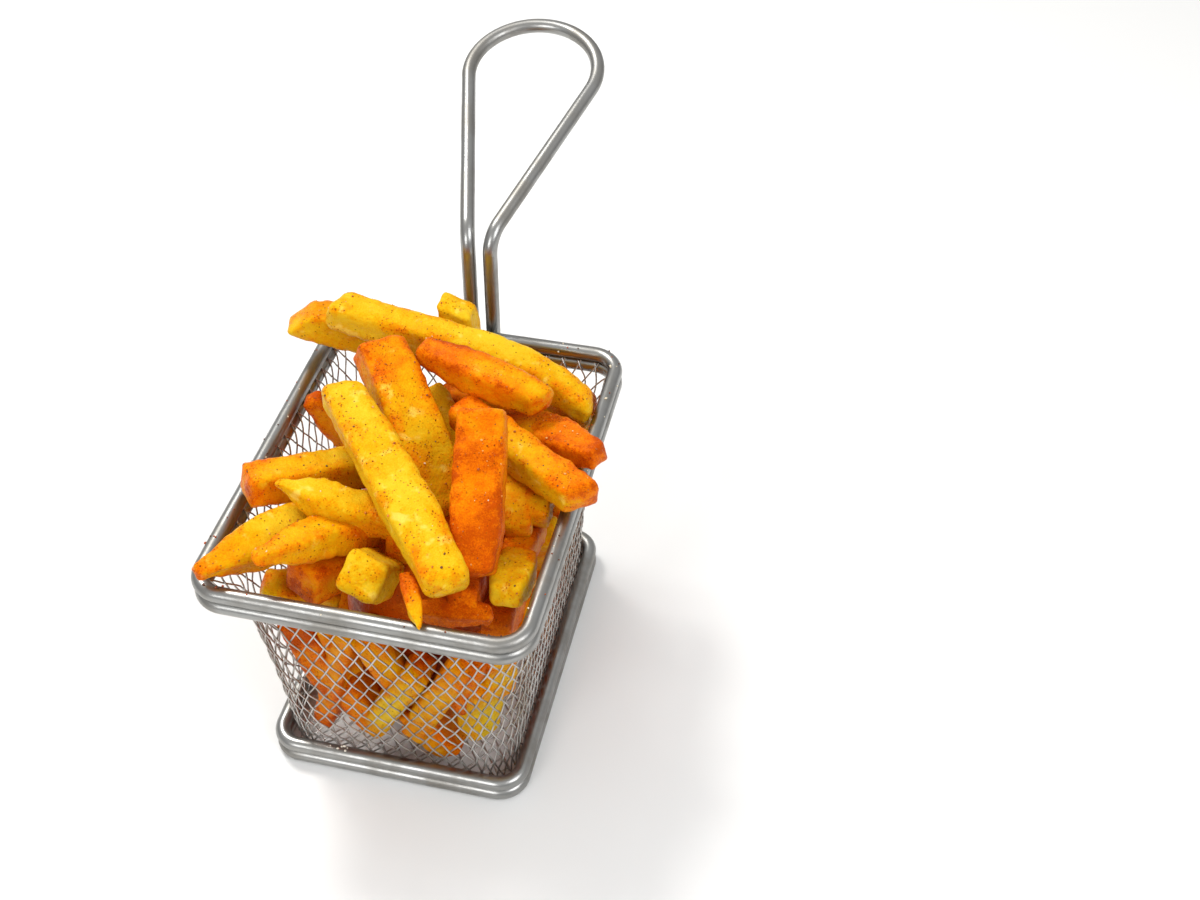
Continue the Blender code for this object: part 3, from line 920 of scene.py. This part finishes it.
def makeCore(shape):
    core = makeRod("fries_core", shape["sides"], shape["rings"])
    mesh = core.data
    heights = sorted(shape["ovals"])
    ovals = [shape["ovals"][height] for height in heights]
    for vertex in mesh.vertices:
        height = heights[0] + (heights[-1] - heights[0]) * vertex.co.z
        middleX, middleY, halfWidth, halfDepth = (
            float(np.interp(height, heights, [oval[index] for oval in ovals])) for index in range(4))
        point = Vector((middleX + halfWidth * vertex.co.x, middleY + halfDepth * vertex.co.y, height)) * mm
        out = Vector((vertex.co.x, vertex.co.y, 0))
        vertex.co = basketMid + point + out * noise.noise(point / (7 * mm)) * shape["lump"]
    # the packed middle gets the deepest tone and strong edge browning: painted shade for the dark gaps deep in the
    # heap
    for label, value in (("fryTone", 1.0), ("fryEdge", 0.8), ("fryAlong", 0.5)):
        attribute = mesh.attributes.new(label, "FLOAT", "POINT")
        attribute.data.foreach_set("value", [value] * len(mesh.vertices))
    mesh.polygons.foreach_set("use_smooth", [True] * len(mesh.polygons))
    finishPiece(core, friedPotato, ("fries_heap",))


makeCore(coreShape)
print("packed middle ready")


crumbShape = {
    "kinds": 7,
    # mean and spread of the radius, in mm
    "sizes": (0.20, 0.10),
    "onFries": 520,
    "onRims": 90,
    "rough": 0.35,
    "clusterMiddle": (-18.3, -52.3),
    "cluster": 7,
}


def makeCrumbKinds(shape):
    # small uneven grains one unit in radius
    kinds = []
    for kind in range(shape["kinds"]):
        deselectAll()
        bpy.ops.mesh.primitive_ico_sphere_add(subdivisions=2, radius=1)
        grain = bpy.context.object
        for vertex in grain.data.vertices:
            vertex.co *= 1 + shape["rough"] * noise.noise(vertex.co * 1.4 + Vector((kind * 5.1, 0, 0)))
        kinds.append(grain)
    return kinds


def landingPlaces(target, count, box, facing, seed):
    # spots of a mesh that lie open to the sky, found by dropping lines on it
    tree = BVHTree.FromObject(target, bpy.context.evaluated_depsgraph_get())
    rng = random.Random(seed)
    low, high = box
    places = []
    for attempt in range(count * 30):
        if len(places) == count:
            break
        x, y = rng.uniform(low[0], high[0]), rng.uniform(low[1], high[1])
        spot, normal, face, distance = tree.ray_cast(Vector((x, y, high[2])) + Vector((0, 0, 0.1)), Vector((0, 0, -1)))
        if spot is not None and spot.z > low[2] and normal.z > facing:
            places.append((spot, normal))
    return places


def makeCrumbs(shape):
    kinds = makeCrumbKinds(shape)
    rng = random.Random(11)
    fries, rim = bpy.data.objects["fries_top"], bpy.data.objects["rim_wire_upper_steel"]
    foot = bpy.data.objects["base_wire_upper_steel"]
    low, high = cadBox
    top = (low[0], low[1], 0.055), (high[0], basketMid.y + 0.063, high[2])
    middle = basketMid + Vector((*shape["clusterMiddle"], 0)) * mm
    near = (middle.x - 0.003, middle.y - 0.001, 0), (middle.x + 0.003, middle.y + 0.001, 0.02)
    places = [(spot, normal, "fry") for spot, normal in landingPlaces(fries, shape["onFries"], top, 0.15, 3)]
    places += [(spot, normal, "rim") for spot, normal in landingPlaces(rim, shape["onRims"], top, 0.1, 4)]
    places += [(spot, normal, "salt") for spot, normal in landingPlaces(foot, shape["cluster"], near, 0.2, 5)]
    crumbs = []
    for spot, normal, kind in places:
        mean, spread = shape["sizes"]
        radius = (mean + spread * rng.uniform(-1, 1) ** 3 * 2) * mm
        if kind == "salt":
            radius = rng.uniform(0.22, 0.48) * mm
        elif kind == "rim":
            radius *= 1.25
        crumb = kinds[rng.randrange(len(kinds))].copy()
        crumb.data = crumb.data.copy()
        bpy.context.scene.collection.objects.link(crumb)
        turn = Matrix.Rotation(rng.uniform(0, 6.28), 4, "Z") @ Matrix.Rotation(rng.uniform(0, 3.14), 4, "X")
        size = Matrix.Diagonal((radius, radius * rng.uniform(0.6, 1.1), radius * rng.uniform(0.6, 1.0), 1))
        crumb.data.transform(Matrix.Translation(spot + normal * radius * 0.35) @ turn @ size)
        if kind == "salt":
            tone = 0.0
        elif kind == "rim":
            tone = rng.choice((0.05, 0.75, 0.9, 1.0, 1.0))
        else:
            tone = 0.1 if rng.random() < 0.05 else rng.choice((0.4, 0.5, 0.6, 0.7, 0.8, 0.95))
        attribute = crumb.data.attributes.new("crumbTone", "FLOAT", "POINT")
        attribute.data.foreach_set("value", [tone] * len(crumb.data.vertices))
        crumbs.append(crumb)
    for kind in kinds:
        bpy.data.objects.remove(kind, do_unlink=True)
    joined = joinPieces(crumbs, "crumbs")
    joined.data.polygons.foreach_set("use_smooth", [True] * len(joined.data.polygons))
    finishPiece(joined, makeCrumbMaterial())


def makeCrumbMaterial():
    material, tree, shader, coords = newMaterial("crumbsAndSalt")
    tone = tree.nodes.new("ShaderNodeAttribute")
    tone.attribute_name = "crumbTone"
    ramp = tree.nodes.new("ShaderNodeValToRGB")
    stops = ramp.color_ramp.elements
    colors = {0.0: (0.80, 0.74, 0.62, 1), 0.2: (0.80, 0.60, 0.25, 1), 0.5: (0.72, 0.24, 0.01, 1),
              0.75: (0.42, 0.07, 0.003, 1), 1.0: (0.09, 0.025, 0.006, 1)}
    for position, color in colors.items():
        stop = stops[0] if position == 0 else stops[-1] if position == 1 else stops.new(position)
        stop.color = color
    tree.links.new(tone.outputs["Fac"], ramp.inputs["Fac"])
    tree.links.new(ramp.outputs["Color"], shader.inputs["Base Color"])
    shader.inputs["Roughness"].default_value = 0.4
    return material


makeCrumbs(crumbShape)
print("crumbs ready")
